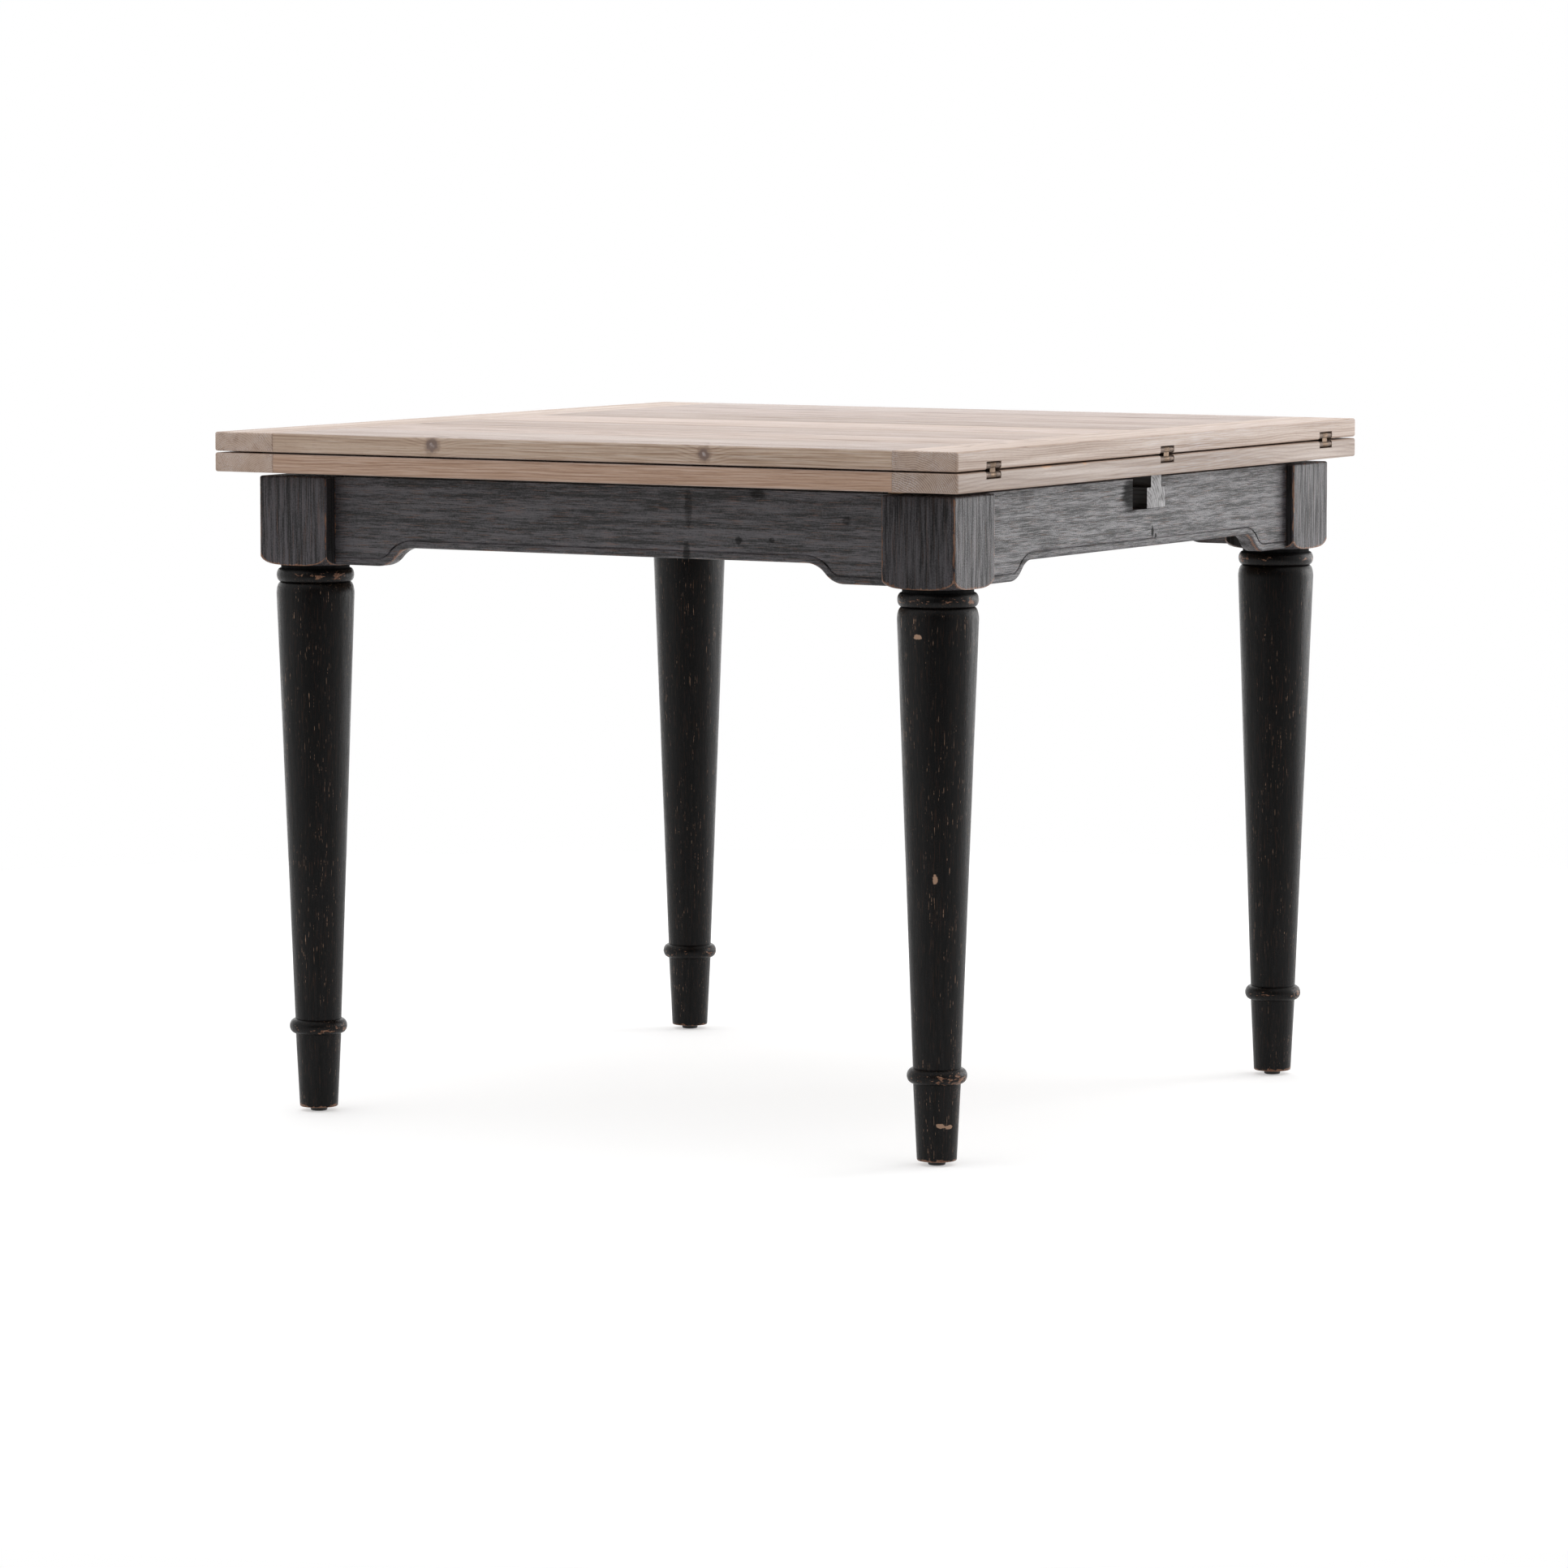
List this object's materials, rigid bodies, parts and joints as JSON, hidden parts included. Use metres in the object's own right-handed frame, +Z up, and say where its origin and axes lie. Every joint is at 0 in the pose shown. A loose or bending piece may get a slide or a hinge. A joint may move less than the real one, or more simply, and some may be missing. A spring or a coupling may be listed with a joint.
{
  "type": "extending dining table",
  "caption": "Square extending dining table on turned legs: the stacked leaves slide along a runner, then the upper one turns over on link hinges to double the top.",
  "frame": {"origin": "on the floor under the middle of the closed top", "axes": "+Z up, +X towards the hinged edge of the leaves, -Y the front with the plain apron"},
  "size_m": [0.95, 0.965, 0.77],
  "materials": {
    "limed_pine": "limed and brushed, matt wax",
    "black_paint": "distressed black paint, satin",
    "bare_pine": "bare sawn pine",
    "grey_stain": "dark grey stain",
    "bronze": "brown bronze, worn",
    "dark_steel": "browned steel",
    "black_nylon": "matt",
    "grey_felt": "dark grey felt",
    "clear_silicone": "clear, soft"
  },
  "bodies": {
    "frame": {"apron_back": "black_paint", "apron_front": "black_paint", "apron_hinge_end": "black_paint", "apron_slide_end": "black_paint", "corner_brace_back_left": "bare_pine", "corner_brace_back_right": "bare_pine", "corner_brace_front_left": "bare_pine", "corner_brace_front_right": "bare_pine", "cross_rail_hinge_end": "bare_pine", "cross_rail_slide_end": "bare_pine", "felt_strip_back": "grey_felt", "felt_strip_front": "grey_felt", "glide_back_left": "black_nylon", "glide_back_right": "black_nylon", "glide_front_left": "black_nylon", "glide_front_right": "black_nylon", "keeper_hinge_end": "bare_pine", "keeper_slide_end": "bare_pine", "leg_back_left": "black_paint", "leg_back_right": "black_paint", "leg_front_left": "black_paint", "leg_front_right": "black_paint"},
    "lower_leaf": {"bumper_back": "clear_silicone", "bumper_front": "clear_silicone", "hinge_lower_pin_back": "dark_steel", "hinge_lower_pin_front": "dark_steel", "hinge_lower_pin_middle": "dark_steel", "hinge_lower_plate_back": "dark_steel", "hinge_lower_plate_front": "dark_steel", "hinge_lower_plate_middle": "dark_steel", "lower_board_1": "limed_pine", "lower_board_2": "limed_pine", "lower_board_3": "limed_pine", "lower_board_4": "limed_pine", "lower_board_5": "limed_pine", "lower_board_6": "limed_pine", "lower_board_7": "limed_pine", "lower_breadboard_free_end": "limed_pine", "lower_breadboard_hinge_end": "limed_pine", "runner": "grey_stain", "runner_stop": "bare_pine"},
    "hinge_links": {"hinge_link_back": "bronze", "hinge_link_front": "bronze", "hinge_link_middle": "bronze"},
    "upper_leaf": {"hinge_upper_pin_back": "dark_steel", "hinge_upper_pin_front": "dark_steel", "hinge_upper_pin_middle": "dark_steel", "hinge_upper_plate_back": "dark_steel", "hinge_upper_plate_front": "dark_steel", "hinge_upper_plate_middle": "dark_steel", "upper_board_1": "limed_pine", "upper_board_2": "limed_pine", "upper_board_3": "limed_pine", "upper_board_4": "limed_pine", "upper_board_5": "limed_pine", "upper_board_6": "limed_pine", "upper_board_7": "limed_pine", "upper_breadboard_free_end": "limed_pine", "upper_breadboard_hinge_end": "limed_pine"}
  },
  "joints": [
    {"name": "top_slide", "type": "slide", "parent": "frame", "child": "lower_leaf", "axis": [-1, 0, 0], "range_m": [0, 0.466]},
    {"name": "link_fold", "type": "hinge", "parent": "lower_leaf", "child": "hinge_links", "pos_m": [0.4708, 0, 0.74269], "axis": [0, 1, 0], "range_deg": [0, 90]},
    {"name": "leaf_fold", "type": "hinge", "parent": "hinge_links", "child": "upper_leaf", "pos_m": [0.4708, 0, 0.7529], "axis": [0, 1, 0], "range_deg": [0, 90]}
  ]
}
